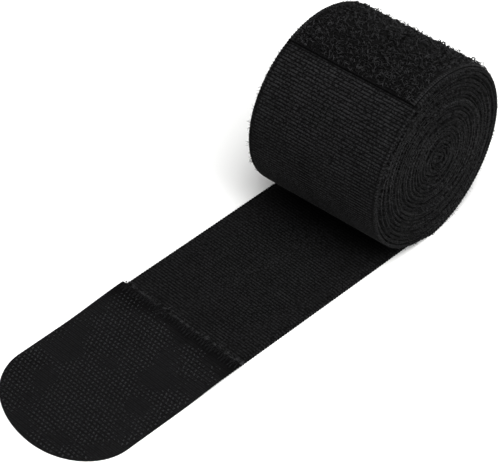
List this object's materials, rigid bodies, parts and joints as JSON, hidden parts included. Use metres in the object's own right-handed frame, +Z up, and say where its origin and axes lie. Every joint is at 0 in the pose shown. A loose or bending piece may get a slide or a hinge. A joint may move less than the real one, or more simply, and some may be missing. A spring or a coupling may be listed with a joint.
{
  "type": "hand wrap",
  "caption": "Black elastic woven hand wrap wound into a roll, its round-ended hook tape end lying flat and a loop tape patch on the roll.",
  "frame": {"origin": "on the ground, at the middle of the line where the roll rests", "axes": "-X along the free end towards its tip, +Z up, Y across the free end; the roll's axis is turned 4.27 degrees in plan from Y"},
  "size_m": [0.1817, 0.0549, 0.0645],
  "materials": {
    "woven_band": "crosswise ribbed elastic weave, black",
    "hook_tape": "woven tape with moulded hooks in rows, black",
    "loop_tape": "brushed loop pile, black",
    "thumb_tape": "narrow woven tape, black",
    "thread": "twisted polyester sewing thread, black"
  },
  "bodies": {
    "roll": {"band_roll": "woven_band", "band_lead_out": "woven_band", "loop_tape": "loop_tape", "loop_tape_stitches": "thread", "thumb_loop": "thumb_tape", "thumb_loop_bar_tack": "thread"},
    "tail_1": {"band_tail_1": "woven_band"},
    "tail_2": {"band_tail_2": "woven_band"},
    "tail_3": {"band_tail_3": "woven_band"},
    "tail_4": {"band_tail_4": "woven_band"},
    "tail_5": {"band_tail_5": "woven_band"},
    "tail_6": {"band_tail_6": "woven_band"},
    "tab_1": {"band_end": "woven_band", "hook_tape_1": "hook_tape", "seam_stitches": "thread"},
    "tab_2": {"hook_tape_2": "hook_tape"},
    "tab_3": {"hook_tape_3": "hook_tape"},
    "tab_4": {"hook_tape_4": "hook_tape"},
    "tab_5": {"hook_tape_5": "hook_tape"}
  },
  "joints": [
    {"name": "tail_curl", "type": "hinge", "parent": "roll", "child": "tail_1", "pos_m": [-0.007, 0.0017, 0.00115], "axis": [0, 1, 0], "range_deg": [0, 15]},
    {"name": "tail_bend_2", "type": "hinge", "parent": "tail_1", "child": "tail_2", "pos_m": [-0.0195, 0.0017, 0.00115], "axis": [0, 1, 0], "range_deg": [0, 26.95]},
    {"name": "tail_bend_3", "type": "hinge", "parent": "tail_2", "child": "tail_3", "pos_m": [-0.032, 0.0017, 0.00115], "axis": [0, 1, 0], "range_deg": [0, 26.05]},
    {"name": "tail_bend_4", "type": "hinge", "parent": "tail_3", "child": "tail_4", "pos_m": [-0.0445, 0.0017, 0.00115], "axis": [0, 1, 0], "range_deg": [0, 20.65]},
    {"name": "tail_bend_5", "type": "hinge", "parent": "tail_4", "child": "tail_5", "pos_m": [-0.057, 0.0017, 0.00115], "axis": [0, 1, 0], "range_deg": [0, 16.85]},
    {"name": "tail_bend_6", "type": "hinge", "parent": "tail_5", "child": "tail_6", "pos_m": [-0.0695, 0.0017, 0.00115], "axis": [0, 1, 0], "range_deg": [0, 18.15]},
    {"name": "tab_curl", "type": "hinge", "parent": "tail_6", "child": "tab_1", "pos_m": [-0.082, 0.0017, 0.00115], "axis": [0, 1, 0], "range_deg": [0, 28.5]},
    {"name": "tab_bend_2", "type": "hinge", "parent": "tab_1", "child": "tab_2", "pos_m": [-0.0985, 0.0017, 0.00115], "axis": [0, 1, 0], "range_deg": [0, 29.05]},
    {"name": "tab_bend_3", "type": "hinge", "parent": "tab_2", "child": "tab_3", "pos_m": [-0.11058, 0.0017, 0.00115], "axis": [0, 1, 0], "range_deg": [0, 18.15]},
    {"name": "tab_bend_4", "type": "hinge", "parent": "tab_3", "child": "tab_4", "pos_m": [-0.12265, 0.0017, 0.00115], "axis": [0, 1, 0], "range_deg": [0, 15.65]},
    {"name": "tab_bend_5", "type": "hinge", "parent": "tab_4", "child": "tab_5", "pos_m": [-0.13473, 0.0017, 0.00115], "axis": [0, 1, 0], "range_deg": [0, 15.75]}
  ],
  "couplings": [
    {"joint": "tail_bend_2", "follows": "tail_curl", "ratio": 1.7933},
    {"joint": "tail_bend_3", "follows": "tail_curl", "ratio": 1.7333},
    {"joint": "tail_bend_4", "follows": "tail_curl", "ratio": 1.3733},
    {"joint": "tail_bend_5", "follows": "tail_curl", "ratio": 1.12},
    {"joint": "tail_bend_6", "follows": "tail_curl", "ratio": 1.2067},
    {"joint": "tab_bend_2", "follows": "tab_curl", "ratio": 1.0175},
    {"joint": "tab_bend_3", "follows": "tab_curl", "ratio": 0.6351},
    {"joint": "tab_bend_4", "follows": "tab_curl", "ratio": 0.5474},
    {"joint": "tab_bend_5", "follows": "tab_curl", "ratio": 0.5509}
  ]
}
